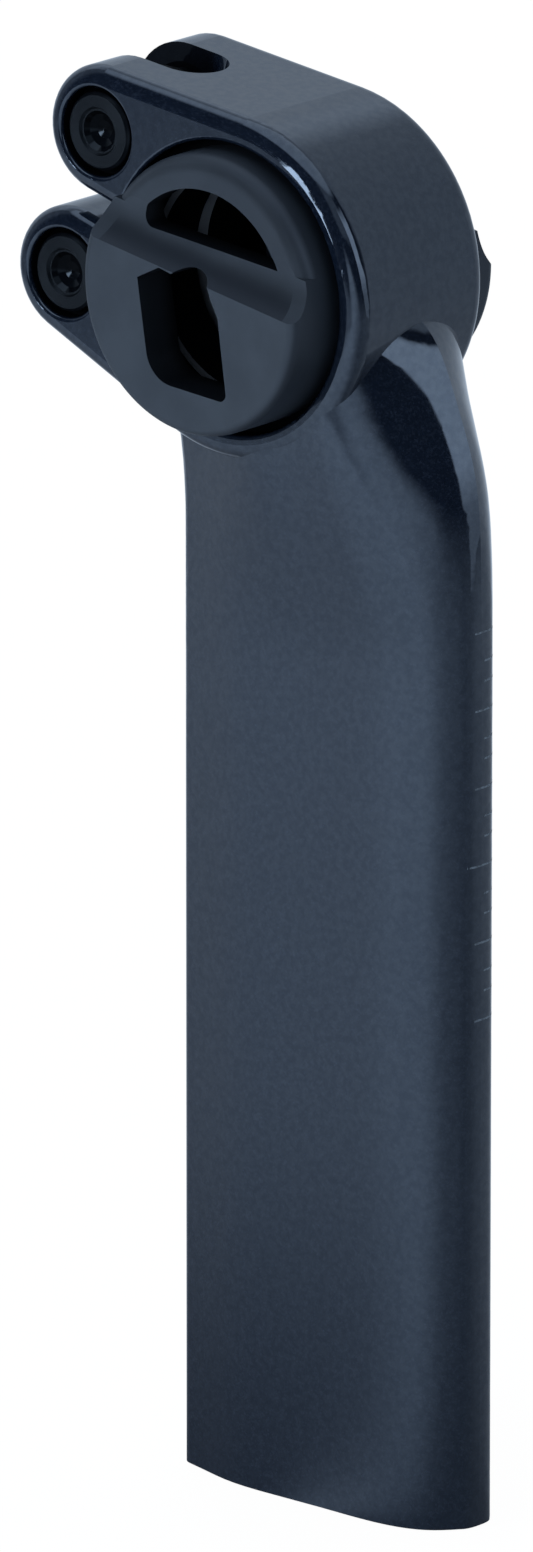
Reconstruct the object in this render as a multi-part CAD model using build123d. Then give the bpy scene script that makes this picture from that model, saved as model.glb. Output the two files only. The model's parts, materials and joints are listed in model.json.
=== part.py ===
"""Aero carbon bicycle seatpost with a split-ring head and a saddle-rail drum.

Millimetres. +X is the front of the bicycle, +Y its left side and +Z runs up the post.
The origin is the middle of the post's cut lower end.
"""

import os
from math import acos, atan2, cos, degrees, radians, sin, sqrt, tan

from build123d import *

# Post tube
clamp_height = 157.0
setback = 9.0
chord = 45.4
thickness = 15.5
nose_length = 11.0
tail_length = 10.5
tail_width = 10.4
tail_corner = 2.3
tail_fullness = 0.95
post_wall = 2.2
neck_height = 50.0
neck_lead = 12.0
ridge_lean = 24.2
ridge_start = 21.0
ridge_blend = 6.0
ridge_fullness = 1.5
bow_end = 0.95
crest_depth = 8.0
crest_fall = 4.5
shoulder_setback = 14.2
tail_flare_height = 36.0
tail_flare = 0.85
crown_height = 9.0

# Ring head and ears
head_width = 24.4
drum_radius = 17.5
drum_clearance = 0.05
ring_wall = 4.45
rim_round = 2.2
bore_gap = 1.1
bore_gap_depth = 3.0
mouth_round = 0.5
neck_inset = 0.12
slit_angle = 164.0
slit_width = 3.2
pinch_reach = 24.8
ear_spacing = 19.8

# Cross barrels and pinch screw
barrel_radius = 5.0
barrel_clearance = 0.04
barrel_recess = 0.45
barrel_gap = 0.7
barrel_gap_depth = 2.5
barrel_chamfer = 0.4
dish_radius = 2.6
dish_depth = 1.5
dish_groove = 0.5
screw_radius = 2.5
screw_length = 22.0
screw_head_radius = 4.25
screw_head_height = 5.0
screw_clearance = 0.05
passage_clearance = 0.35
hex_key = 4.0
hex_depth = 2.5
washer_thickness = 0.9
washer_play = 0.1
seat_depth = 1.0
slot_relief = 0.3
slot_clearance = 0.35
slot_lead = 3.0

# Saddle-rail drum
drum_tilt = 10.0
drum_face = 16.4
plate_face = 19.1
drum_edge_round = 2.2
plate_edge_round = 1.4
drum_split = 2.0
drum_wall = 3.2
drum_step = 0.9
step_depth = 8.0
plate_wall = 3.4
window_radius = 13.4
window_rear_share = 0.79
window_round = 1.6
rail_spacing = 44.0
groove_bite = 0.12
groove_height = 7.5
bar_top = 5.7
bar_slant = 4.0
bolt_hole_radius = 3.8
keyhole_rear = 8.3
keyhole_front = 5.2
keyhole_head = 2.4
keyhole_toe = 8.5
keyhole_toe_depth = 10.9
keyhole_heel = 4.1
keyhole_heel_depth = 12.2
keyhole_round = 1.0
keyhole_corner = 4.4

bore_radius = drum_radius + drum_clearance
ring_radius = bore_radius + ring_wall
half_head = head_width / 2
half_thick = thickness / 2
ear_radius = (ear_spacing - slit_width) / 2
drum_x = -setback
rear_x = -chord / 2
nose_x = chord / 2
barrel_bore = barrel_radius + barrel_clearance
barrel_half = half_head - barrel_recess

# Slit direction towards the rear, and the pinch screw's direction across it
slit_along = Vector(cos(radians(slit_angle)), sin(radians(slit_angle)))
slit_across = Vector(slit_along.Y, -slit_along.X)
upper_ear = slit_along * pinch_reach + slit_across * (ear_spacing / 2)
lower_ear = slit_along * pinch_reach - slit_across * (ear_spacing / 2)

# Heights of the neck's sections below the drum axis, as shares of its height
neck_levels = (0.86, 0.73, 0.60, 0.48, 0.37, 0.26, 0.15, 0.04, -0.07)

head_frame = Location((drum_x, 0, clamp_height))
side_plane = Plane((drum_x, 0, clamp_height), x_dir=(1, 0, 0), z_dir=(0, -1, 0))


def polar(radius, angle):
    """Point at a radius and an angle in degrees."""
    return Vector(radius * cos(radians(angle)), radius * sin(radians(angle)))


def ease(value, start, end):
    """Smooth step of a value, from 0 at the start to 1 at the end."""
    share = min(max((value - start) / (end - start), 0), 1)
    return share * share * (3 - 2 * share)


def section(level, nose, run, wedge, tail_half, widths, inset=0.0):
    """Face of the tube at one height: flat tail, tapering sides and the nose.

    The run is the nose's length and the wedge is how far it goes from an ellipse, at 0, to a
    pointed ridge, at 1. The widths are half-widths where the tail ends, at mid-side and at the
    nose's shoulder.
    """
    corner = tail_corner - inset * 0.6
    back = rear_x + inset
    corner_y = tail_half - inset - corner
    tail_end = rear_x + tail_length
    taper = atan2(widths[0] - tail_half, tail_length)
    turn = (radians(90) - taper) / 2
    corner_end = (back + corner - corner * sin(taper), -corner_y - corner * cos(taper))
    corner_mid = (back + corner - corner * cos(turn), -corner_y - corner * sin(turn))
    tip = nose - inset
    flat = tip - run - tail_end
    side = [
        corner_end,
        (tail_end, inset - widths[0] * tail_fullness),
        (tail_end + flat * 0.34, inset - widths[1]),
        (tail_end + flat * 0.7, inset - widths[2]),
    ]
    for turned in (90, 65, 43, 23):
        ahead = 1 - cos(radians(turned))
        bow = ridge_fullness * ahead - (ridge_fullness - bow_end) * ahead**2
        share = (1 - wedge) * sin(radians(turned)) + wedge * bow
        side.append((tip - ahead * run, share * (inset - widths[2])))
    side.append((tip, 0))
    crease = wedge**2 * atan2(run, ridge_fullness * widths[2])
    right = Spline(*side, tangents=((cos(taper), -sin(taper)), (sin(crease), cos(crease))))
    bend = ThreePointArc((back, -corner_y), corner_mid, corner_end)
    tail = Line((back, corner_y), (back, -corner_y))
    edges = [tail, bend, right, mirror(right, about=Plane.XZ), mirror(bend, about=Plane.XZ)]
    return Pos(0, 0, level) * make_face(Wire.combine([e.edge() for e in edges])[0])


def plain_section(level, inset=0.0):
    """The tube's constant section, with an elliptical nose."""
    widths = (half_thick, half_thick, half_thick)
    return section(level, nose_x, nose_length - inset, 0, tail_width / 2, widths, inset)


def ridge_retreat(drop):
    """How far the neck's ridge lies behind the tube's nose, by the height below the drum axis."""
    above = ridge_start - drop
    crest = max(1 - drop / crest_depth, 0)
    return tan(radians(ridge_lean)) * (above + sqrt(above**2 + ridge_blend**2)) / 2 + crest_fall * crest**2


def neck_section(drop):
    """A neck section at a height below the drum axis, from the tube to the head's full width.

    Its measures change over shares of the neck's rise, the sides first and the tail last.
    """
    rise = 1 - drop / neck_height
    nose = nose_x - ridge_retreat(drop) + ridge_retreat(neck_height)
    shoulder = nose_x - nose_length - (shoulder_setback - nose_length) * ease(rise, 0, 0.7)
    wedge = ease(rise, 0.1, 0.9)
    full = half_head - neck_inset
    grow = full - half_thick
    widths = (
        half_thick + tail_flare * grow * ease(rise, 0, 1),
        half_thick + grow * ease(rise, 0.05, 0.67),
        half_thick + grow * ease(rise, 0.05, 0.73),
    )
    spread = min(max(1 - drop / tail_flare_height, 0) / 0.72, 1) ** 2.6
    tail_half = tail_width / 2 + spread * (tail_flare * full - tail_width / 2)
    return section(clamp_height - drop, nose, nose - shoulder, wedge, tail_half, widths)


def mouthed_hole(radius, gap, depth, centre):
    """Tool for a hole across the head, wider at its two mouths and rounded at their edges."""
    past = half_head + 1
    step = half_head - depth
    wide = radius + gap
    edge = half_head - mouth_round
    profile = make_face(Wire.combine([
        Line((0, 0), (radius, 0)).edge(),
        Line((radius, 0), (radius, step)).edge(),
        Line((radius, step), (wide, step)).edge(),
        Line((wide, step), (wide, edge)).edge(),
        CenterArc((wide + mouth_round, edge), mouth_round, 90, 90).edge(),
        Line((wide + mouth_round, half_head), (wide + mouth_round, past)).edge(),
        Line((wide + mouth_round, past), (0, past)).edge(),
        Line((0, past), (0, 0)).edge(),
    ])[0])
    half = revolve(profile, Axis.Y)
    return head_frame * Pos(centre.X, 0, centre.Y) * (half + mirror(half, about=Plane.XZ))


def head_outline():
    """Side outline of the ring and its two ears, parted by the slit."""
    upper_turn = degrees(acos((ring_radius - ear_radius) / upper_ear.length))
    upper_normal = degrees(atan2(upper_ear.Y, upper_ear.X)) - upper_turn
    lower_turn = degrees(acos((ring_radius - ear_radius) / lower_ear.length))
    lower_normal = degrees(atan2(lower_ear.Y, lower_ear.X)) % 360 + lower_turn
    inner = slit_along * (drum_radius * 0.6)
    half_slit = slit_across * (slit_width / 2)
    upper_edge = upper_ear - slit_across * ear_radius
    lower_edge = lower_ear + slit_across * ear_radius
    across = slit_angle - 90
    return make_face(Wire.combine([
        Line(polar(ring_radius, upper_normal), upper_ear + polar(ear_radius, upper_normal)).edge(),
        CenterArc(upper_ear, ear_radius, upper_normal, across + 180 - upper_normal).edge(),
        Line(upper_edge, inner + half_slit).edge(),
        ThreePointArc(inner + half_slit, inner - slit_along * (slit_width / 2),
                      inner - half_slit).edge(),
        Line(inner - half_slit, lower_edge).edge(),
        CenterArc(lower_ear, ear_radius, across, lower_normal - across).edge(),
        Line(lower_ear + polar(ear_radius, lower_normal), polar(ring_radius, lower_normal)).edge(),
        CenterArc((0, 0), ring_radius, lower_normal, 360 + upper_normal - lower_normal).edge(),
    ])[0])


def across_pinch(centre, height):
    """Plane square to the pinch screw, at a height above an ear's centre."""
    origin = centre + slit_across * height
    return Plane(
        (drum_x + origin.X, 0, clamp_height + origin.Y),
        x_dir=(slit_along.X, 0, slit_along.Y),
        z_dir=(slit_across.X, 0, slit_across.Y),
    )


def make_post():
    """Hollow tube, neck, split ring and ears as one moulding."""
    tube_end = clamp_height - neck_height - neck_lead
    tube = extrude(plain_section(0), tube_end)
    neck = loft([
        *[plain_section(tube_end + quarter * neck_lead / 4) for quarter in range(5)],
        *[neck_section(share * neck_height) for share in neck_levels],
    ])
    head = extrude(side_plane * head_outline(), half_head, both=True)
    ends = head.faces().sort_by(Axis.Y)
    head = fillet(ends[0].edges() + ends[-1].edges(), rim_round)
    body = tube + neck + head

    body -= mouthed_hole(bore_radius, bore_gap, bore_gap_depth, Vector(0, 0))
    body -= mouthed_hole(barrel_bore, barrel_gap, barrel_gap_depth, upper_ear)
    body -= mouthed_hole(barrel_bore, barrel_gap, barrel_gap_depth, lower_ear)

    body -= extrude(plain_section(0, post_wall), clamp_height - ring_radius - crown_height)

    slot_half = screw_head_radius + slot_clearance
    plan = Circle(slot_half) + Pos(ear_radius, 0) * Rectangle(2 * ear_radius, 2 * slot_half)
    plan += Pos(-slot_lead, 0) * Circle(slot_half)
    plan += Pos(-slot_lead / 2, 0) * Rectangle(slot_lead, 2 * slot_half)
    floor = upper_ear - slit_across * (seat_depth + slot_relief)
    slot = extrude(across_pinch(floor, 0) * plan, 3 * ear_radius)
    ramp_start = floor - slit_along * slot_half
    ramp_end = ramp_start - slit_along * slot_lead + slit_across * (ear_radius + seat_depth)
    rear_end = floor + slit_along * 2 * ear_radius
    side = make_face(Polyline(
        ramp_start, ramp_end, ramp_end + slit_across * 2 * ear_radius,
        rear_end + slit_across * 3 * ear_radius, rear_end, close=True,
    ))
    body -= slot & extrude(side_plane * side, half_head, both=True)
    passage = Circle(screw_radius + passage_clearance)
    body -= extrude(across_pinch(lower_ear, 0) * passage, ear_spacing)
    return body


def make_barrel(centre, hole_radius, seated):
    """Cross barrel with dished ends and a hole for the pinch screw."""
    end = barrel_half
    lip = dish_radius + dish_groove
    profile = make_face(Polyline(
        (0, -end + dish_depth), (dish_radius * 0.45, -end + dish_depth * 0.9),
        (dish_radius * 0.8, -end + dish_depth * 0.6), (dish_radius, -end + dish_groove * 0.6),
        (dish_radius + dish_groove * 0.5, -end + dish_groove * 0.6), (lip, -end),
        (barrel_radius - barrel_chamfer, -end), (barrel_radius, -end + barrel_chamfer),
        (barrel_radius, 0), (0, 0), close=True,
    ))
    half = revolve(profile, Axis.Y)
    barrel = head_frame * Pos(centre.X, 0, centre.Y) * (half + mirror(half, about=Plane.XZ))
    hole = Circle(hole_radius)
    barrel -= extrude(across_pinch(centre, 0) * hole, barrel_radius * 2, both=True)
    if seated:
        flat = Rectangle(3 * barrel_radius, 2 * (screw_head_radius + slot_clearance))
        barrel -= extrude(across_pinch(centre, -seat_depth) * flat, 2 * barrel_radius)
    return barrel


def make_screw():
    """Socket-head screw through both ears."""
    under_head = washer_thickness - seat_depth
    head = extrude(across_pinch(upper_ear, under_head) * Circle(screw_head_radius), screw_head_height)
    top = head.faces().sort_by(Axis.Z)[-1]
    head = fillet(top.edges(), screw_head_radius * 0.1)
    shank = extrude(across_pinch(upper_ear, under_head) * Circle(screw_radius), -screw_length)
    hexagon = RegularPolygon(hex_key / 2, 6, major_radius=False)
    socket_plane = across_pinch(upper_ear, under_head + screw_head_height)
    return head + shank - extrude(socket_plane * hexagon, -hex_depth)


def make_washer():
    """Plain washer between the screw's head and its seat."""
    ring = Circle(screw_head_radius + washer_play) - Circle(screw_radius + passage_clearance)
    return extrude(across_pinch(upper_ear, -seat_depth) * ring, washer_thickness)


def make_drum_half():
    """Right half of the drum, with its axis at the origin and the rails level."""
    plane = Plane((0, 0, 0), x_dir=(1, 0, 0), z_dir=(0, -1, 0))
    core = extrude(plane * Circle(drum_radius), drum_face)
    core = fillet(core.faces().sort_by(Axis.Y)[0].edges(), drum_edge_round)
    plate = extrude(plane * Circle(drum_radius), plate_face)
    plate = fillet(plate.faces().sort_by(Axis.Y)[0].edges(), plate_edge_round)
    span = 2 * drum_radius + 2
    plate -= Pos(0, 0, groove_height + drum_radius) * Box(span, 3 * plate_face, 2 * drum_radius)
    groove_radius = rail_spacing / 2 - drum_face + groove_bite
    groove = Pos(0, -rail_spacing / 2, groove_height) * Rot(0, 90, 0) * Cylinder(groove_radius, span)
    half = core + plate - groove
    inner = drum_radius - drum_wall
    half -= extrude(plane * Circle(inner), step_depth)
    half -= extrude(plane * Circle(inner + drum_step), drum_face - plate_wall) - extrude(
        plane * Circle(drum_radius), step_depth)
    half -= Box(span, drum_split, span)

    past = plate_face + 1
    window_rear = window_rear_share * window_radius
    rear_edge = sqrt(window_radius**2 - window_rear**2) - bar_top
    above_bar = Pos(-window_rear, bar_top) * Rot(0, 0, bar_slant) * Pos(0, drum_radius) * Rectangle(
        2 * span, 2 * drum_radius)
    window = Circle(window_radius) & above_bar
    window &= Pos(span / 2 - window_rear, 0) * Rectangle(span, span)
    window = fillet(window.vertices().group_by(Axis.X)[0], min(window_round, 0.6 * rear_edge))
    toe = Vector(keyhole_toe, -keyhole_toe_depth)
    heel = Vector(-keyhole_heel, -keyhole_heel_depth)
    keyhole = make_face(Polyline(
        (-keyhole_rear, 0), (-0.62 * keyhole_rear, keyhole_head), (0.6 * keyhole_front, 0.8 * keyhole_head),
        (keyhole_front, -0.3 * keyhole_head), toe, heel, close=True,
    ))
    keyhole = fillet(keyhole.vertices().sort_by_distance(toe)[0], keyhole_round)
    keyhole = fillet(keyhole.vertices().sort_by_distance(heel)[0], keyhole_corner)
    keyhole += Circle(bolt_hole_radius)
    half -= extrude(plane * window, past)
    half -= extrude(plane * keyhole, past)
    return half


post = make_post()
upper_barrel = make_barrel(upper_ear, screw_radius + passage_clearance, True)
lower_barrel = make_barrel(lower_ear, screw_radius + screw_clearance, False)
pinch_bolt = make_screw()
pinch_washer = make_washer()
drum_right_level = make_drum_half()
drum_place = head_frame * Rot(0, drum_tilt, 0)
drum_right = drum_place * drum_right_level
drum_left = drum_place * mirror(drum_right_level, about=Plane.XZ)

nodes = {
    "post": post,
    "drum_right": drum_right,
    "drum_left": drum_left,
    "upper_barrel": upper_barrel,
    "lower_barrel": lower_barrel,
    "pinch_bolt": pinch_bolt,
    "pinch_washer": pinch_washer,
}
os.makedirs("parts", exist_ok=True)
for name, solid in nodes.items():
    export_step(solid, f"parts/{name}.step")
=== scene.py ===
"""Looks of an aero bicycle seatpost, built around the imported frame.

Metres, and degrees for directions. +X is the front of the bicycle, +Y its left side and +Z runs up
the post. The post, its drum, barrels and screw come from the frame. This script dresses them, prints
the insertion scale on the nose, and sets up the studio and the camera.
"""

import json
import logging
import math
from dataclasses import dataclass
from enum import Enum

import bmesh
import bpy
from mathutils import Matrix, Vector
from mathutils.bvhtree import BVHTree

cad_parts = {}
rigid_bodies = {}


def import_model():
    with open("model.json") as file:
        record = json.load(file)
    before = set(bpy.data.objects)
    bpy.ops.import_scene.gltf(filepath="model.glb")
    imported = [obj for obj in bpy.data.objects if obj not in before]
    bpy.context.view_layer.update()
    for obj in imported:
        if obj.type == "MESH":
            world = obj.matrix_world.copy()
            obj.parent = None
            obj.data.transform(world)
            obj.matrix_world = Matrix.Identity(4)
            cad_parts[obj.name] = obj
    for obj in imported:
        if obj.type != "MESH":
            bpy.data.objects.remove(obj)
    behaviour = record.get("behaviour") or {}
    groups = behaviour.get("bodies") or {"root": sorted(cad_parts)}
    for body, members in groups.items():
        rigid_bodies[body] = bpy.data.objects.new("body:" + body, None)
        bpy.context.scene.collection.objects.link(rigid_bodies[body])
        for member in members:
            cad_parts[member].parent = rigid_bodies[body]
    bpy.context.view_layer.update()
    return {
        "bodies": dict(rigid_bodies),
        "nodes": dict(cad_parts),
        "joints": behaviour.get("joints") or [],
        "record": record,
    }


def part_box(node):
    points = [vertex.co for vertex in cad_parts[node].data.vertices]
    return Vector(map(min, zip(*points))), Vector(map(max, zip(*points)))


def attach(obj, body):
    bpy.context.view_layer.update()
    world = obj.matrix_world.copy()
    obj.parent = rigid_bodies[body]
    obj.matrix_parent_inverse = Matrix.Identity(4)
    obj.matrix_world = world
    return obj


LOG = logging.getLogger("seatpost")
MM = 0.001
DEGREES = 180 / math.pi
RIGHT_ANGLE = 90.0
EDGE_SOFT = 0.05 * MM

Colour = tuple[float, float, float]
Point = tuple[float, float, float]
Bore = tuple[float, float, float]
Span = tuple[float, float]
Box = tuple[Vector, Vector]

# Matt black that the materials mix in as painted shade, in crevices and hollows.
PAINTED_SHADE_BLACK: Colour = (0.003, 0.0035, 0.0045)
WHITE: Colour = (1.0, 1.0, 1.0)


class Body(Enum):
    """Rigid body of the frame that a new piece rides on."""

    POST = "post"


class Slot(Enum):
    """A material slot of the record."""

    PAINT = "painted_carbon"


class Signal:
    """A node's output that takes part in Python expressions."""

    def __init__(self, net: "ShaderNet", socket: bpy.types.NodeSocket) -> None:
        """Keep the output and the net that it belongs to."""
        self.net = net
        self.socket = socket

    def __add__(self, other: "Signal | float") -> "Signal":
        """Sum."""
        return self.net.math("ADD", self, other)

    def __radd__(self, other: float) -> "Signal":
        """Sum, with the number first."""
        return self.net.math("ADD", other, self)

    def __sub__(self, other: "Signal | float") -> "Signal":
        """Difference."""
        return self.net.math("SUBTRACT", self, other)

    def __rsub__(self, other: float) -> "Signal":
        """Difference, with the number first."""
        return self.net.math("SUBTRACT", other, self)

    def __mul__(self, other: "Signal | float") -> "Signal":
        """Product."""
        return self.net.math("MULTIPLY", self, other)

    def __rmul__(self, other: float) -> "Signal":
        """Product, with the number first."""
        return self.net.math("MULTIPLY", other, self)

    def __truediv__(self, other: "Signal | float") -> "Signal":
        """Quotient."""
        return self.net.math("DIVIDE", self, other)

    def __abs__(self) -> "Signal":
        """Size without sign."""
        return self.net.math("ABSOLUTE", self)

    def root(self) -> "Signal":
        """Square root."""
        return self.net.math("SQRT", self)

    def wave(self) -> "Signal":
        """Sine of an angle in radians."""
        return self.net.math("SINE", self)

    def lesser(self, other: "Signal | float") -> "Signal":
        """The smaller of two values."""
        return self.net.math("MINIMUM", self, other)

    def greater(self, other: "Signal | float") -> "Signal":
        """The larger of two values."""
        return self.net.math("MAXIMUM", self, other)

    def rise(self, low: float, high: float) -> "Signal":
        """Smooth step from 0 at low to 1 at high.

        Args:
            low: Value where the step starts.
            high: Value where the step ends.

        Returns:
            The step, between 0 and 1.
        """
        inputs = {"Value": self, "From Min": low, "From Max": high}
        settings = {"interpolation_type": "SMOOTHSTEP"}
        return self.net.out("ShaderNodeMapRange", settings, inputs, "Result")

    def band(self, low: float, high: float, soft_low: float, soft_high: float) -> "Signal":
        """Window between two values with soft edges.

        Args:
            low: Middle of the lower edge.
            high: Middle of the upper edge.
            soft_low: Width of the lower edge.
            soft_high: Width of the upper edge.

        Returns:
            1 inside the window and 0 outside.
        """
        up = self.rise(low - soft_low / 2, low + soft_low / 2)
        down = self.rise(high - soft_high / 2, high + soft_high / 2)
        return up * (1 - down)


class ShaderNet:
    """A node tree that is written as expressions."""

    def __init__(self, tree: bpy.types.NodeTree) -> None:
        """Take a tree and empty it."""
        self.tree = tree
        self.tree.nodes.clear()

    def node(self, kind: str, settings: dict, inputs: dict) -> bpy.types.Node:
        """Create any node.

        Args:
            kind: Blender's name of the node type.
            settings: Attributes of the node, set first.
            inputs: Values or signals by socket name or index.

        Returns:
            The new node.
        """
        made = self.tree.nodes.new(kind)
        for name, value in settings.items():
            setattr(made, name, value)
        for name, value in inputs.items():
            socket = made.inputs[name]
            if isinstance(value, Signal):
                self.tree.links.new(value.socket, socket)
            elif isinstance(value, tuple) and socket.type == "RGBA":
                socket.default_value = (*value, 1.0)
            else:
                socket.default_value = value
        return made

    def out(self, kind: str, settings: dict, inputs: dict, name: str | int) -> Signal:
        """Create a node and return one of its outputs as a signal."""
        return Signal(self, self.node(kind, settings, inputs).outputs[name])

    def math(self, operation: str, *values: "Signal | float") -> Signal:
        """One Math node."""
        return self.out("ShaderNodeMath", {"operation": operation}, dict(enumerate(values)), 0)

    def mix(self, share: Signal, first: "Signal | Colour", second: "Signal | Colour") -> Signal:
        """Blend two colours.

        Args:
            share: How much of the second colour shows.
            first: Colour where the share is 0.
            second: Colour where the share is 1.

        Returns:
            The blended colour.
        """
        return self.out("ShaderNodeMix", {"data_type": "RGBA"}, {0: share, 6: first, 7: second}, 2)

    def split(self, vector: Signal) -> tuple[Signal, Signal, Signal]:
        """The three values of a vector."""
        parts = self.node("ShaderNodeSeparateXYZ", {}, {0: vector}).outputs
        return Signal(self, parts[0]), Signal(self, parts[1]), Signal(self, parts[2])

    def place(self) -> tuple[Signal, Signal, Signal, Signal]:
        """Object coordinates as a vector and as three values in metres."""
        vector = self.out("ShaderNodeTexCoord", {}, {}, "Object")
        return vector, *self.split(vector)

    def slope(self) -> tuple[Signal, Signal]:
        """How far a surface faces across the bicycle, from 0 to 1, and up, from -1 to 1."""
        _, across, upward = self.split(self.out("ShaderNodeTexCoord", {}, {}, "Normal"))
        return abs(across), upward

    @staticmethod
    def distance(x: Signal, z: Signal, centre_x: float, centre_z: float) -> Signal:
        """How far a place lies from an axis across the bicycle.

        Args:
            x: The place along the bicycle.
            z: The place upwards.
            centre_x: The axis along the bicycle.
            centre_z: The axis upwards.

        Returns:
            The distance.
        """
        across = x - centre_x
        above = z - centre_z
        return (across * across + above * above).root()

    def disc(self, x: Signal, z: Signal, centre_x: float, centre_z: float, radius: float) -> Signal:
        """1 within a radius of an axis across the bicycle, and 0 outside."""
        return 1 - self.distance(x, z, centre_x, centre_z).rise(radius, radius + EDGE_SOFT)

    def noise(self, vector: Signal, scale: float, detail: float = 2.0) -> Signal:
        """Value noise between 0 and 1."""
        inputs = {"Vector": vector, "Scale": scale, "Detail": detail}
        return self.out("ShaderNodeTexNoise", {}, inputs, "Fac")

    def cells(self, vector: Signal, scale: float) -> Signal:
        """A random value for each small cell, between 0 and 1."""
        colour = self.out("ShaderNodeTexVoronoi", {}, {"Vector": vector, "Scale": scale}, "Color")
        return self.out("ShaderNodeSeparateColor", {}, {0: colour}, 0)

    def bump(self, height: Signal, depth: float) -> Signal:
        """A normal from a height between 0 and 1, with the relief's depth in metres."""
        inputs = {"Height": height, "Distance": depth, "Strength": 1.0}
        return self.out("ShaderNodeBump", {}, inputs, "Normal")

    def finish(self, painted_shade: Signal | None = None, **inputs: "Signal | float | Colour") -> None:
        """Close a material with a Principled shader.

        Args:
            painted_shade: Where a matt black takes over as painted shade, in crevices and hollows.
            **inputs: Socket values by name, with underscores for spaces.
        """
        named = {key.replace("_", " "): value for key, value in inputs.items()}
        shader = self.out("ShaderNodeBsdfPrincipled", {}, named, "BSDF")
        # Painted shade: a matt black diffuse takes over by the given share.
        if painted_shade is not None:
            painted_black = self.out("ShaderNodeBsdfDiffuse", {}, {"Color": PAINTED_SHADE_BLACK}, 0)
            shader = self.out("ShaderNodeMixShader", {}, {0: painted_shade, 1: shader, 2: painted_black}, 0)
        self.node("ShaderNodeOutputMaterial", {}, {"Surface": shader})


def new_net(name: str) -> tuple[bpy.types.Material, ShaderNet]:
    """A new material and its empty net.

    Args:
        name: Name of the material.

    Returns:
        The material and the net.
    """
    material = bpy.data.materials.new(name)
    material.use_nodes = True
    return material, ShaderNet(material.node_tree)


@dataclass(frozen=True)
class TubeSection:
    """The tube's truncated teardrop, with a round nose and a flat tail."""

    rear: float = -22.7 * MM
    nose: float = 22.7 * MM
    nose_length: float = 11.0 * MM
    tail_length: float = 10.5 * MM
    tail_share: float = 0.67
    half: float = 7.75 * MM
    wall: float = 2.2 * MM
    hollow_top: Span = (118.0 * MM, 122.0 * MM)

    def depth(self, x: Signal, y: Signal) -> Signal:
        """How deep a place lies under the tube's sides.

        Args:
            x: The place along the bicycle.
            y: The place across it.

        Returns:
            The depth.
        """
        nose_part = ((x - (self.nose - self.nose_length)) / self.nose_length).greater(0.0).lesser(1.0)
        round_part = (1 - nose_part * nose_part).greater(0.0).root()
        tail_part = ((x - self.rear) / self.tail_length).lesser(1.0)
        outline = self.half * (self.tail_share + (1 - self.tail_share) * tail_part) * round_part
        return outline - abs(y)


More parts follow.
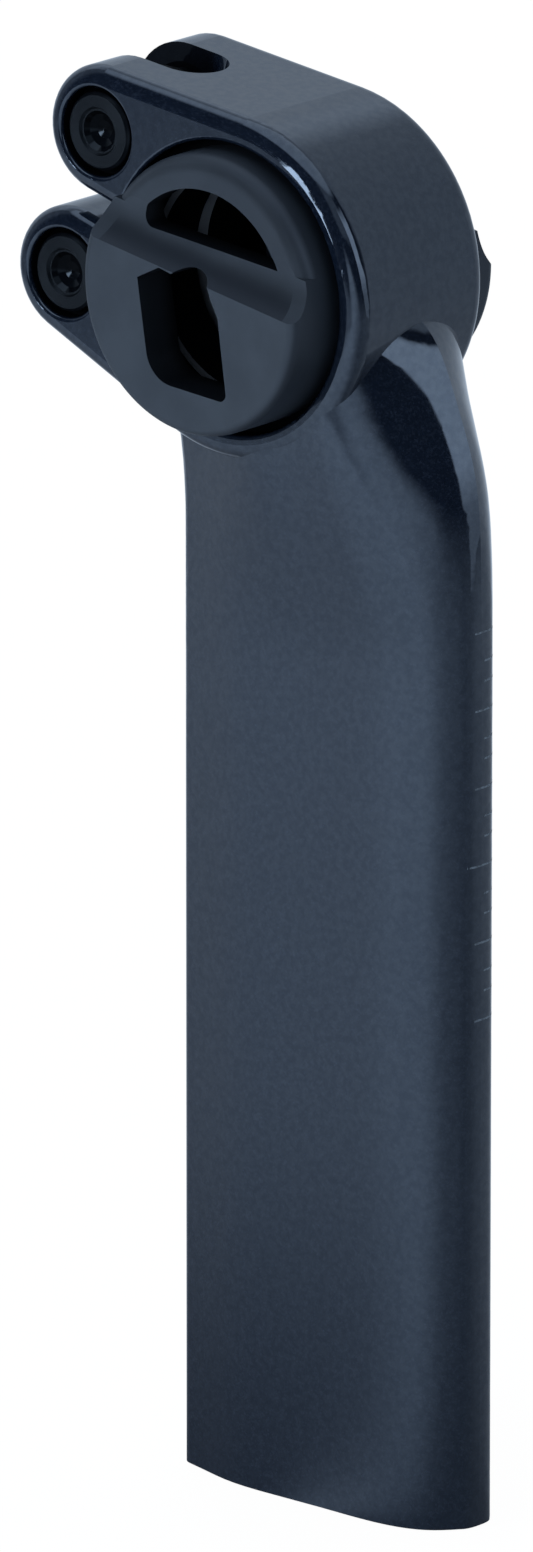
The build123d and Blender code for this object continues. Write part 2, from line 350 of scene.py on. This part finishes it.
@dataclass(frozen=True)
class CarbonPaint:
    """Blue-black gloss paint with a fine flake, unpainted laminate inside the tube, and painted shade in
    gaps.
    """

    name: str = "blue_black_paint"
    base: Colour = (0.0046, 0.0088, 0.0195)
    flake: Colour = (0.0125, 0.0190, 0.0340)
    laminate: Colour = (0.012, 0.0125, 0.0135)
    ply: Colour = (0.030, 0.031, 0.033)
    sheen_tint: Colour = (0.74, 0.855, 1.0)
    sheen_level: float = 0.87
    gloss: float = 0.045
    gloss_change: float = 0.02
    bare_roughness: float = 0.55
    flake_scale: float = 4300.0
    flake_step: Span = (0.55, 1.0)
    flake_level: float = 0.55
    flake_change: float = 0.9
    cloud_scale: float = 90.0
    mottle_scale: float = 1050.0
    mottle_step: Span = (0.32, 0.68)
    mottle_metal: float = 0.16
    peel_scale: float = 420.0
    peel_depth: float = 0.004 * MM
    ply_pitch: float = 0.25 * MM
    ply_step: Span = (-0.4, 0.9)
    ply_waver: float = 3.0
    ply_waver_scale: float = 300.0
    cut_skin: Span = (0.01 * MM, 0.03 * MM)
    wall_middle: Span = (0.45, 0.55)
    wall_soft: float = 0.2 * MM
    mouth_soft: float = 0.3 * MM
    slot_slope: Span = (0.3, 0.6)
    slot_soft: float = 0.1 * MM
    slot_shade: float = 0.85

    def make(self, tube: TubeSection, bores: list[Bore], rim: float, slot_box: Box) -> bpy.types.Material:
        """Build the material.

        Args:
            tube: The tube's section.
            bores: X, Z and radius of each hole across the head.
            rim: How far from the middle the holes' walls reach before their rounded mouths.
            slot_box: Box round the screw head's slot; its walls take painted shade from low to high
                corner.

        Returns:
            The material.
        """
        material, net = new_net(self.name)
        vector, x, y, z = net.place()
        flakes = net.cells(vector, self.flake_scale)
        cloud = net.noise(vector, self.cloud_scale)
        sparkle = flakes.rise(*self.flake_step) * (self.flake_level + self.flake_change * cloud)
        peel = net.noise(vector, self.peel_scale, detail=1.0)
        mottle = net.noise(vector, self.mottle_scale).rise(*self.mottle_step)
        depth = tube.depth(x, y)
        bare_and_painted_highlight = self.unpainted(x, z, depth, tube)
        waver = self.ply_waver * net.noise(vector, self.ply_waver_scale)
        layers = (depth * (math.tau / self.ply_pitch) + waver).wave()

        paint = net.mix(sparkle, self.base, self.flake)
        raw = net.mix(layers.rise(*self.ply_step), self.laminate, self.ply)
        rough = self.gloss + self.gloss_change * cloud + self.gloss_change * flakes
        # Painted shade: matt black in the gaps round the drum and the barrels, short of the holes'
        # rounded mouths.
        painted_crevice_shade = net.disc(x, z, *bores[0])
        for bore in bores[1:]:
            painted_crevice_shade = painted_crevice_shade.greater(net.disc(x, z, *bore))
        painted_crevice_shade *= 1 - abs(y).rise(rim - self.mouth_soft, rim)
        # Painted shade: the slot's walls, not its floor, take matt black, fading out towards the front
        # and the bottom.
        _, upward = net.slope()
        low, high = slot_box
        slot = (1 - upward.rise(*self.slot_slope)) * (1 - x.rise(low.x, high.x))
        slot *= 1 - abs(y).rise(high.y, high.y + self.slot_soft)
        slot *= z.rise(low.z, high.z)
        net.finish(
            painted_shade=painted_crevice_shade.greater(self.slot_shade * slot),
            Base_Color=net.mix(bare_and_painted_highlight, paint, raw),
            Metallic=self.mottle_metal * mottle * (1 - bare_and_painted_highlight),
            Roughness=rough + bare_and_painted_highlight * (self.bare_roughness - rough),
            Specular_IOR_Level=self.sheen_level,
            Specular_Tint=self.sheen_tint,
            Normal=net.bump(peel, self.peel_depth),
        )
        return material

    def unpainted(self, x: Signal, z: Signal, depth: Signal, tube: TubeSection) -> Signal:
        """Where the laminate shows: inside the tube and on its trimmed end.

        Args:
            x: The place along the bicycle.
            z: The place along the post.
            depth: The depth under the tube's sides.
            tube: The tube's section.

        Returns:
            1 on unpainted laminate and 0 on paint.
        """
        wall = tube.wall
        inside = depth.rise(self.wall_middle[0] * wall, self.wall_middle[1] * wall)
        inside *= x.band(tube.rear + wall / 2, tube.nose - wall / 2, self.wall_soft, self.wall_soft)
        inside *= 1 - z.rise(*tube.hollow_top)
        end = 1 - z.rise(*self.cut_skin)
        return inside.greater(end)


@dataclass(frozen=True)
class BlastedAnodising:
    """Matt grey anodising over a blasted surface, with painted shade in its hollows, groove and sides,
    and painted highlights on its inner ledges.
    """

    name: str = "matt_grey_anodising"
    base: Colour = (0.041, 0.051, 0.065)
    pale: Colour = (0.058, 0.071, 0.088)
    # Painted shade: the colour that the upper face, turned-away sides and groove take.
    shade: Colour = (0.0075, 0.0105, 0.0165)
    # Painted highlight: the pale colour of the inner ledges, as if they caught light.
    bare_and_painted_highlight: Colour = (0.32, 0.34, 0.37)
    sheen_tint: Colour = (0.80, 0.88, 1.0)
    sheen_level: float = 0.5
    metal: float = 0.25
    roughness: float = 0.46
    roughness_change: float = 0.10
    grain_scale: float = 2600.0
    grain_depth: float = 0.012 * MM
    cloud_scale: float = 140.0
    cloud_step: Span = (0.3, 0.75)
    wall_slope: Span = (0.25, 0.45)
    mouth: Span = (12.0 * MM, 16.0 * MM)
    mouth_light: float = 0.45
    ledge_slope: Span = (0.80, 0.95)
    ledge: Span = (9.0 * MM, 9.3 * MM)
    upper_face: Span = (17.0 * MM, 18.0 * MM)
    upper_shade: float = 0.22
    side_slope: Span = (0.55, 0.98)
    side_shade: float = 0.60
    groove_slope: Span = (0.10, 0.75)
    groove_shade: float = 0.95

    def make(self, axis: Span, inner: float) -> bpy.types.Material:
        """Build the material.

        Args:
            axis: X and Z of the drum's axis.
            inner: Radius that holds the windows and the hollow, whose walls take a painted black shade.

        Returns:
            The material.
        """
        material, net = new_net(self.name)
        vector, x, y, z = net.place()
        grain = net.noise(vector, self.grain_scale)
        cloud = net.noise(vector, self.cloud_scale, detail=3.0)
        facing, upward = net.slope()
        middle = net.disc(x, z, *axis, inner)
        # Painted shade: hollow and window walls that don't face across the bicycle turn matt black, less
        # so towards the outer face.
        walls = middle * (1 - facing.rise(*self.wall_slope))
        walls *= 1 - self.mouth_light * abs(y).rise(*self.mouth)
        # Painted highlight: faces across the bicycle within the ledge depth, the drum's inner ledges, are
        # painted pale as if lit.
        painted_ledge_highlight = facing.rise(*self.ledge_slope) * (1 - abs(y).rise(*self.ledge))
        # Painted shade: the upper face, sides that don't face across the bicycle and the groove's upward
        # slope darken towards the shade colour.
        upper_painted_shade = self.upper_shade * (1 - abs(y).rise(*self.upper_face))
        turned_away_shade = self.side_shade * (1 - facing.rise(*self.side_slope))
        groove_painted_shade = self.groove_shade * middle * upward.rise(*self.groove_slope)
        coating = net.mix(cloud.rise(*self.cloud_step), self.base, self.pale)
        coating = net.mix(upper_painted_shade.greater(turned_away_shade).greater(groove_painted_shade), coating, self.shade)
        net.finish(
            painted_shade=walls,
            Base_Color=net.mix(painted_ledge_highlight, coating, self.bare_and_painted_highlight),
            Metallic=self.metal,
            Roughness=self.roughness + self.roughness_change * cloud,
            Specular_IOR_Level=self.sheen_level,
            Specular_Tint=self.sheen_tint,
            Normal=net.bump(grain, self.grain_depth),
        )
        return material


@dataclass(frozen=True)
class TurnedAnodising:
    """Satin black anodising over turned ends, with painted shade on the ends, darkest in the bowl's upper
    half.
    """

    name: str
    centre: Span
    base: Colour = (0.0014, 0.0022, 0.0040)
    pale: Colour = (0.0034, 0.0046, 0.0070)
    sheen_tint: Colour = (0.72, 0.86, 1.0)
    sheen_level: float = 0.28
    roughness: float = 0.26
    roughness_change: float = 0.08
    cloud_scale: float = 260.0
    cloud_step: Span = (0.3, 0.75)
    ring_pitch: float = 0.22 * MM
    ring_depth: float = 0.006 * MM
    # Painted shade: shares of matt black on the flat end, in the bowl and in the bowl's upper half.
    end_shade: float = 0.36
    bowl: float = 2.6 * MM
    bowl_roughness: float = 0.08
    bowl_shade: float = 0.15
    bowl_top: Span = (-0.6 * MM, 0.2 * MM)
    bowl_top_shade: float = 0.75

    def make(self) -> bpy.types.Material:
        """Build the material, with turning rings about the barrel's own axis.

        Returns:
            The material.
        """
        material, net = new_net(self.name)
        vector, x, _, z = net.place()
        radius = net.distance(x, z, *self.centre)
        rings = (radius * (math.tau / self.ring_pitch)).wave()
        rim = radius.rise(self.bowl - EDGE_SOFT, self.bowl + EDGE_SOFT)
        bowl_top = (z - self.centre[1]).rise(*self.bowl_top)
        cloud = net.noise(vector, self.cloud_scale, detail=3.0)
        satin = self.roughness - self.bowl_roughness + self.roughness_change * cloud
        # Painted shade: the flat end takes end_shade of the matt black; the bowl takes more, most in its
        # upper half.
        net.finish(
            painted_shade=self.end_shade * rim + (1 - rim) * (self.bowl_shade + self.bowl_top_shade * bowl_top),
            Base_Color=net.mix(cloud.rise(*self.cloud_step), self.base, self.pale),
            Roughness=self.bowl_roughness + rim * satin,
            Specular_IOR_Level=self.sheen_level,
            Specular_Tint=self.sheen_tint,
            Normal=net.bump(0.5 + 0.5 * rings * rim, self.ring_depth),
        )
        return material


@dataclass(frozen=True)
class BlackSteel:
    """Black oxide on a steel screw."""

    name: str = "black_oxide_steel"
    base: Colour = (0.018, 0.019, 0.021)
    bright: Colour = (0.060, 0.060, 0.062)
    metal: float = 0.7
    roughness: float = 0.36
    roughness_change: float = 0.14
    cloud_scale: float = 700.0
    cloud_step: Span = (0.45, 0.8)
    cloud_depth: float = 0.004 * MM

    def make(self) -> bpy.types.Material:
        """Build the material.

        Returns:
            The material.
        """
        material, net = new_net(self.name)
        vector, _, _, _ = net.place()
        cloud = net.noise(vector, self.cloud_scale, detail=4.0)
        net.finish(
            Base_Color=net.mix(cloud.rise(*self.cloud_step), self.base, self.bright),
            Metallic=self.metal,
            Roughness=self.roughness + self.roughness_change * cloud,
            Normal=net.bump(cloud, self.cloud_depth),
        )
        return material


@dataclass(frozen=True)
class PalePrint:
    """Thin grey-blue print, worn in places."""

    name: str = "pale_scale_print"
    ink: Colour = (0.220, 0.270, 0.320)
    thin: Colour = (0.110, 0.135, 0.165)
    sheen_level: float = 0.35
    roughness: float = 0.42
    roughness_change: float = 0.15
    wear_scale: float = 1800.0
    wear_step: Span = (0.42, 0.62)

    def make(self) -> bpy.types.Material:
        """Build the material.

        Returns:
            The material.
        """
        material, net = new_net(self.name)
        vector, _, _, _ = net.place()
        wear = net.noise(vector, self.wear_scale, detail=3.0)
        net.finish(
            Base_Color=net.mix(wear.rise(*self.wear_step), self.ink, self.thin),
            Roughness=self.roughness + self.roughness_change * wear,
            Specular_IOR_Level=self.sheen_level,
        )
        return material


def add_piece(name: str, mesh: bmesh.types.BMesh, material: bpy.types.Material) -> bpy.types.Object:
    """Turn a bmesh into a piece of the scene.

    Args:
        name: Name of the piece.
        mesh: The finished shape, in the frame; it is freed.
        material: The finish of the whole piece.

    Returns:
        The new object, at the origin.
    """
    data = bpy.data.meshes.new(name)
    mesh.to_mesh(data)
    mesh.free()
    data.materials.append(material)
    piece = bpy.data.objects.new(name, data)
    bpy.context.scene.collection.objects.link(piece)
    return piece


def dress(node: bpy.types.Object, material: bpy.types.Material) -> None:
    """Give a node of the frame its finish.

    Args:
        node: The node's object.
        material: The finish.
    """
    node.data.materials.clear()
    node.data.materials.append(material)
    LOG.info("dressed %s with %s", node.name, material.name)


def cross_axis(name: str) -> Bore:
    """X, Z and radius of a round node whose axis runs across the bicycle."""
    low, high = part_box(name)
    return (low.x + high.x) / 2, (low.z + high.z) / 2, (high.x - low.x) / 2


@dataclass
class PostShell:
    """The moulded post and the insertion scale printed on its nose."""

    frame: dict
    tube: TubeSection = TubeSection()
    rim: float = 11.75 * MM
    drum_gap: float = 1.2 * MM
    barrel_gap: float = 0.8 * MM
    slot_gap: float = 0.9 * MM
    slot_foot: float = 1.0 * MM
    slot_fade: float = 2.0 * MM
    first_mark: float = 66.0 * MM
    mark_step: float = 10.0 * MM
    mark_count: int = 6
    long_index: int = 2
    line_height: float = 0.26 * MM
    line_stand: float = 0.012 * MM
    line_steps: int = 12
    far_end: float = 3.4 * MM
    mark_start: float = -1.2 * MM
    long_start: float = -2.3 * MM
    minor_start: float = 0.5 * MM
    minor_steps: tuple[float, float] = (3.7 * MM, 6.3 * MM)

    def build(self) -> None:
        """Dress the post and print its scale."""
        post = self.frame["nodes"]["post"]
        dress(post, CarbonPaint().make(self.tube, self.find_bores(), self.rim, self.find_slot()))
        ink = PalePrint().make()
        skin = BVHTree.FromObject(post, bpy.context.evaluated_depsgraph_get())
        shape = bmesh.new()
        for index in range(self.mark_count):
            height = self.first_mark + index * self.mark_step
            start = self.long_start if index == self.long_index else self.mark_start
            self.add_line(shape, skin, height, start)
            for step in self.minor_steps:
                if index < self.mark_count - 1:
                    self.add_line(shape, skin, height + step, self.minor_start)
        bmesh.ops.reverse_faces(shape, faces=shape.faces[:])
        scale = add_piece("insertion_scale", shape, ink)
        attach(scale, Body.POST.value)
        LOG.info("printed the insertion scale")

    def find_bores(self) -> list[Bore]:
        """Measure the holes across the head from what fills them.

        Returns:
            X, Z and radius of each hole, with its gap.
        """
        gaps = {
            "drum_right": self.drum_gap,
            "upper_barrel": self.barrel_gap,
            "lower_barrel": self.barrel_gap,
        }
        bores = []
        for name, gap in gaps.items():
            x, z, radius = cross_axis(name)
            bores.append((x, z, radius + gap))
        return bores

    def find_slot(self) -> Box:
        """Measure the screw head's slot from the washer in it.

        Returns:
            The corners between which the slot's walls take painted shade.
        """
        low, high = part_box("pinch_washer")
        reach = high.y + self.slot_gap
        foot = Vector((high.x, -reach, low.z - self.slot_foot))
        return foot, Vector((high.x + self.slot_fade, reach, high.z))

    def nose_angle(self, y: float) -> float:
        """Angle on the nose's ellipse, from its tip, for a distance across the post."""
        return math.asin(y / self.tube.half)

    def add_line(self, shape: bmesh.types.BMesh, skin: BVHTree, height: float, start: float) -> None:
        """Spin one thin line round the nose and lay it on the skin.

        Args:
            shape: The mesh that takes the line.
            skin: The post's surface.
            height: Height of the line above the trimmed end.
            start: Where the line starts across the post; it ends on the far side.
        """
        tube = self.tube
        first = self.nose_angle(start)
        turn = self.nose_angle(self.far_end) - first
        radius = 1.0 + self.line_stand / tube.half
        foot = shape.verts.new((radius * math.cos(first), radius * math.sin(first), height))
        head = shape.verts.new((foot.co.x, foot.co.y, height + self.line_height))
        edge = shape.edges.new((foot, head))
        made = bmesh.ops.spin(
            shape,
            geom=[foot, head, edge],
            cent=(0, 0, 0),
            axis=(0, 0, 1),
            angle=turn,
            steps=self.line_steps,
        )
        last = [part for part in made["geom_last"] if isinstance(part, bmesh.types.BMVert)]
        strip = self.linked(last)
        bmesh.ops.scale(shape, vec=(tube.nose_length, tube.half, 1.0), verts=strip)
        bmesh.ops.translate(shape, vec=(tube.nose - tube.nose_length, 0, 0), verts=strip)
        ahead = Vector((1, 0, 0))
        for vert in strip:
            place, normal, _, _ = skin.ray_cast(vert.co + ahead * tube.nose_length, -ahead)
            vert.co = place + normal * self.line_stand
            vert.co.x = min(vert.co.x, tube.nose)

    @staticmethod
    def linked(seed: list[bmesh.types.BMVert]) -> list[bmesh.types.BMVert]:
        """All vertices joined to some of a strip's vertices.

        Args:
            seed: Vertices of the strip.

        Returns:
            Every vertex of the strip.
        """
        found = set(seed)
        waiting = list(seed)
        while waiting:
            vert = waiting.pop()
            for link in vert.link_edges:
                other = link.other_vert(vert)
                if other not in found:
                    found.add(other)
                    waiting.append(other)
        return list(found)


@dataclass
class RailDrum:
    """The two drum halves that carry the saddle rails."""

    frame: dict
    # Radius inside which the drum's window and hollow walls take painted shade.
    hollow: float = 15.4 * MM

    def build(self) -> None:
        """Dress both halves."""
        x, z, _ = cross_axis("drum_right")
        matt = BlastedAnodising().make((x, z), self.hollow)
        for name in ("drum_right", "drum_left"):
            dress(self.frame["nodes"][name], matt)


@dataclass
class PinchClamp:
    """The two cross barrels, the pinch screw and its washer."""

    frame: dict

    def build(self) -> None:
        """Dress the clamp's pieces."""
        for name in ("upper_barrel", "lower_barrel"):
            x, z, _ = cross_axis(name)
            dress(self.frame["nodes"][name], TurnedAnodising(f"{name}_anodising", (x, z)).make())
        steel = BlackSteel().make()
        for name in ("pinch_bolt", "pinch_washer"):
            dress(self.frame["nodes"][name], steel)


@dataclass(frozen=True)
class Step:
    """A smooth change between two directions or distances."""

    gain: float
    start: float
    end: float

    def at(self, value: Signal) -> Signal:
        """The change at a direction or distance."""
        return self.gain * value.rise(self.start, self.end)


@dataclass(frozen=True)
class Window:
    """A range of directions with soft edges."""

    low: float
    high: float
    soft_low: float
    soft_high: float

    def at(self, value: Signal) -> Signal:
        """1 inside the range and 0 outside."""
        return value.band(self.low, self.high, self.soft_low, self.soft_high)


@dataclass(frozen=True)
class Lamp:
    """A square softbox: its place in metres, the length of its side and its power in watts."""

    name: str
    place: Point
    size: float
    power: float


@dataclass(frozen=True)
class StudioGlow:
    """Light that the gloss shows, by direction.

    A pale table fades to the right and ends on the left. Behind the camera is a dark room, with a
    slanted softbox right of it, a bright slanted strip on the left, soft light from behind and a panel
    overhead. Turn is the direction round the object in degrees, 0 at the front of the bicycle, and
    climb is the angle above the horizon.
    """

    table_level: float = 0.38
    table_steps: tuple[Step, ...] = (
        Step(0.61, -195.0, -125.0),
        Step(0.36, -135.0, -105.0),
        Step(-0.96, -75.0, -14.0),
        Step(0.04, -14.0, 0.0),
        Step(0.16, 10.0, 45.0),
        Step(0.22, 80.0, 120.0),
        Step(-0.36, 150.0, 180.0),
    )
    table_far: Step = Step(0.52, -16.5, -13.5)
    table_left: Span = (-92.0, -66.0)
    horizon_climb: float = 6.0
    horizon_turn: float = -60.0
    horizon_slant: float = 0.47
    horizon_low: float = -9.0
    horizon_rise: float = 15.0
    horizon_soft: float = 2.0
    horizon_left_soft: float = 5.0
    room_level: float = 0.30
    room_steps: tuple[Step, ...] = (Step(-0.25, -160.0, -140.0), Step(0.60, 30.0, 48.0))
    wall_turn: Window = Window(-58.0, -8.0, 16.0, 10.0)
    wall_climb: Step = Step(0.40, 20.0, 26.0)
    softbox_edge: float = -4.0
    softbox_edge_soft: float = 1.2
    softbox_slant_up: float = 0.45
    softbox_slant_down: float = 1.5
    softbox_end: float = 30.0
    softbox_end_soft: float = 3.0
    softbox_narrows: Step = Step(13.0, 4.0, 16.0)
    softbox_climb: Window = Window(-13.0, 42.0, 4.0, 14.0)
    softbox_level: float = 0.90
    softbox_step: Step = Step(1.50, -8.0, 16.0)
    strip_level: float = 9.0
    strip_turn: Window = Window(-126.0, -112.0, 2.0, 2.0)
    strip_middle: float = -116.3
    strip_slant: float = 1.2
    strip_width: Window = Window(-3.5, 3.5, 2.0, 2.0)
    back_turn: Window = Window(92.0, 176.0, 60.0, 8.0)
    back_climb: Window = Window(6.0, 56.0, 6.0, 40.0)
    back_level: float = 0.72
    back_step: Step = Step(0.40, 26.0, 40.0)
    overhead: Step = Step(1.4, 50.0, 60.0)

    def at(self, turn: Signal, climb: Signal) -> Signal:
        """Brightness in one direction.

        Args:
            turn: Direction round the object.
            climb: Angle above the horizon.

        Returns:
            The brightest of all that lies there.
        """
        lit = self.table_and_room(turn, climb).greater(self.softbox(turn, climb))
        lit = lit.greater(self.strip(turn, climb)).greater(self.back_panel(turn, climb))
        return lit.greater(self.overhead.at(climb))

    @staticmethod
    def stepped(level: float, steps: tuple[Step, ...], turn: Signal) -> Signal:
        """A level that changes in steps round the object.

        Args:
            level: Where it starts.
            steps: Its changes.
            turn: Direction round the object.

        Returns:
            The level in that direction.
        """
        total = level
        for step in steps:
            total = total + step.at(turn)
        return total

    def table_and_room(self, turn: Signal, climb: Signal) -> Signal:
        """The table below the horizon and the room above it.

        Args:
            turn: Direction round the object.
            climb: Angle above the horizon.

        Returns:
            The brightness.
        """
        left = turn.rise(*self.table_left)
        table = self.stepped(self.table_level, self.table_steps, turn)
        table *= 1 - self.table_far.at(climb) * (1 - left)
        slanted = self.horizon_climb - self.horizon_slant * (turn - self.horizon_turn)
        horizon = slanted.greater(self.horizon_low).lesser(self.horizon_rise * left + self.horizon_low)
        soft = self.horizon_soft + self.horizon_left_soft * left
        above = ((climb - horizon) / soft).rise(-1.0, 1.0)
        room = self.stepped(self.room_level, self.room_steps, turn)
        room += self.wall_turn.at(turn) * self.wall_climb.at(climb)
        return table + above * (room - table)

    def softbox(self, turn: Signal, climb: Signal) -> Signal:
        """The slanted softbox right of the camera.

        Args:
            turn: Direction round the object.
            climb: Angle above the horizon.

        Returns:
            The brightness.
        """
        edge = self.softbox_edge - self.softbox_slant_up * climb.greater(0.0)
        edge -= self.softbox_slant_down * climb.lesser(0.0)
        end = self.softbox_end - self.softbox_narrows.at(climb)
        inside = (turn - edge).rise(-self.softbox_edge_soft, self.softbox_edge_soft)
        inside *= 1 - (turn - end).rise(-self.softbox_end_soft, self.softbox_end_soft)
        return inside * self.softbox_climb.at(climb) * (self.softbox_level + self.softbox_step.at(climb))

    def strip(self, turn: Signal, climb: Signal) -> Signal:
        """The bright strip on the left."""
        across = climb - self.strip_slant * (turn - self.strip_middle)
        return self.strip_level * self.strip_turn.at(turn) * self.strip_width.at(across)

    def back_panel(self, turn: Signal, climb: Signal) -> Signal:
        """The soft light from behind."""
        level = self.back_level + self.back_step.at(climb)
        return self.back_turn.at(turn) * self.back_climb.at(climb) * level


@dataclass
class Studio:
    """Pale floor, soft surroundings, lamps and the camera."""

    azimuth: float = 41.0
    elevation: float = 16.3
    distance: float = 2.5
    aim: Point = (-0.0126, 0.0, 0.0909)
    lens: float = 464.0
    sensor: float = 36.0
    clip_end: float = 50.0
    glow: StudioGlow = StudioGlow()
    sky: Colour = (0.75, 0.885, 1.06)
    lamps: tuple[Lamp, ...] = (
        Lamp("key_softbox", (-0.5, -1.5, 0.5), 0.5, 5.0),
        Lamp("back_softbox", (-0.9, 0.9, 1.0), 0.8, 3.0),
    )
    floor_radius: float = 6.0
    floor_segments: int = 96
    floor_drop: float = 0.2 * MM
    floor_colour: Colour = (0.78, 0.79, 0.80)
    floor_white: float = 1.05
    floor_share: float = 0.93
    neck_height: float = 0.13
    # Painted shadow round the object's foot on the floor that the gloss sees.
    near_level: float = 0.27
    near_step: Step = Step(0.55, 0.0, 0.20)
    far_step: Step = Step(0.22, 0.13, 0.43)
    side_step: Step = Step(0.28, -128.0, -75.0)
    side_reach: Span = (0.04, 0.24)
    soft_level: float = 0.28
    soft_right: float = 1.15
    soft_right_turn: Window = Window(-172.0, -52.0, 50.0, 50.0)
    soft_left: float = 0.60
    soft_left_turn: Window = Window(60.0, 165.0, 40.0, 20.0)
    soft_top: Span = (5.0, 45.0)

    def build(self) -> None:
        """Set up everything around the object."""
        bpy.context.scene.view_settings.view_transform = "Standard"
        self.lay_floor()
        self.light_world()
        for lamp in self.lamps:
            self.hang(lamp)
        self.set_camera()

    @staticmethod
    def seen(net: ShaderNet) -> tuple[Signal, Signal]:
        """Light path switches.

        Args:
            net: The net that reads them.

        Returns:
            The camera ray switch, and the one of glossy and transmission rays.
        """
        path = net.node("ShaderNodeLightPath", {}, {})
        camera = Signal(net, path.outputs["Is Camera Ray"])
        glossy = Signal(net, path.outputs["Is Glossy Ray"])
        through = Signal(net, path.outputs["Is Transmission Ray"])
        return camera, glossy.greater(through)

    def lay_floor(self) -> None:
        """A wide pale disc under the object; for the gloss it carries a painted shadow round the object's
        foot.
        """
        material, net = new_net("pale_floor")
        _, x, y, _ = net.place()
        camera, glossy = self.seen(net)
        turn = net.math("ARCTAN2", y, x) * DEGREES
        reach = (x * x + y * y).root()
        climb = net.math("ARCTAN2", reach, self.neck_height) * DEGREES - RIGHT_ANGLE
        # Painted shadow for the gloss: the floor darkens towards the object's foot, most towards the rear
        # right.
        near = self.near_level + self.near_step.at(reach) + self.far_step.at(reach)
        near += self.side_step.at(turn) * (1 - reach.rise(*self.side_reach))
        strength = self.floor_white * camera + (1 - camera) * glossy * near * self.glow.at(turn, climb)
        colour = net.mix(camera, self.sky, WHITE)
        lit = net.out("ShaderNodeEmission", {}, {"Color": colour, "Strength": strength}, 0)
        matt = net.out("ShaderNodeBsdfDiffuse", {}, {"Color": self.floor_colour}, 0)
        share = camera.greater(glossy) * self.floor_share
        both = net.out("ShaderNodeMixShader", {}, {0: share, 1: matt, 2: lit}, 0)
        net.node("ShaderNodeOutputMaterial", {}, {"Surface": both})
        shape = bmesh.new()
        bmesh.ops.create_circle(
            shape,
            cap_ends=True,
            segments=self.floor_segments,
            radius=self.floor_radius,
        )
        bmesh.ops.translate(shape, vec=(0, 0, -self.floor_drop), verts=shape.verts)
        floor = add_piece("studio_floor", shape, material)

    def light_world(self) -> None:
        """White surroundings for the camera, and the studio's light for the gloss."""
        world = bpy.data.worlds.new("studio")
        bpy.context.scene.world = world
        world.use_nodes = True
        net = ShaderNet(world.node_tree)
        x, y, z = net.split(net.out("ShaderNodeTexCoord", {}, {}, "Generated"))
        camera, glossy = self.seen(net)
        turn = net.math("ARCTAN2", y, x) * DEGREES
        climb = net.math("ARCSINE", z) * DEGREES
        sides = self.soft_right * self.soft_right_turn.at(turn)
        sides += self.soft_left * self.soft_left_turn.at(turn)
        soft = self.soft_level + sides * (1 - climb.rise(*self.soft_top))
        strength = camera + (1 - camera) * (glossy * self.glow.at(turn, climb) + (1 - glossy) * soft)
        colour = net.mix(camera, self.sky, WHITE)
        lit = net.out("ShaderNodeBackground", {}, {"Color": colour, "Strength": strength}, 0)
        net.node("ShaderNodeOutputWorld", {}, {"Surface": lit})

    def hang(self, lamp: Lamp) -> None:
        """Hang one softbox and aim it at the object.

        Args:
            lamp: The softbox.
        """
        light = bpy.data.lights.new(lamp.name, "AREA")
        light.size = lamp.size
        light.energy = lamp.power
        holder = bpy.data.objects.new(lamp.name, light)
        bpy.context.scene.collection.objects.link(holder)
        holder.location = lamp.place
        way = Vector(self.aim) - Vector(lamp.place)
        holder.rotation_euler = way.to_track_quat("-Z", "Y").to_euler()
        holder.visible_glossy = False

    def set_camera(self) -> None:
        """The camera at the photograph's viewing angle."""
        turn = math.radians(self.azimuth)
        climb = math.radians(self.elevation)
        flat = math.cos(climb)
        way = Vector((-math.sin(turn) * flat, math.cos(turn) * flat, -math.sin(climb)))
        camera = bpy.data.cameras.new("camera")
        camera.lens = self.lens
        camera.sensor_width = self.sensor
        camera.clip_end = self.clip_end
        holder = bpy.data.objects.new("camera", camera)
        bpy.context.scene.collection.objects.link(holder)
        holder.location = Vector(self.aim) - way * self.distance
        holder.rotation_euler = way.to_track_quat("-Z", "Y").to_euler()
        bpy.context.scene.camera = holder


def main() -> None:
    """Build the looks around the frame."""
    logging.basicConfig(level=logging.INFO, format="%(name)s: %(message)s")
    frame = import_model()
    for part in (PostShell(frame), RailDrum(frame), PinchClamp(frame)):
        part.build()
        LOG.info("built %s", type(part).__name__)
    Studio().build()


if __name__ == "__main__":
    main()
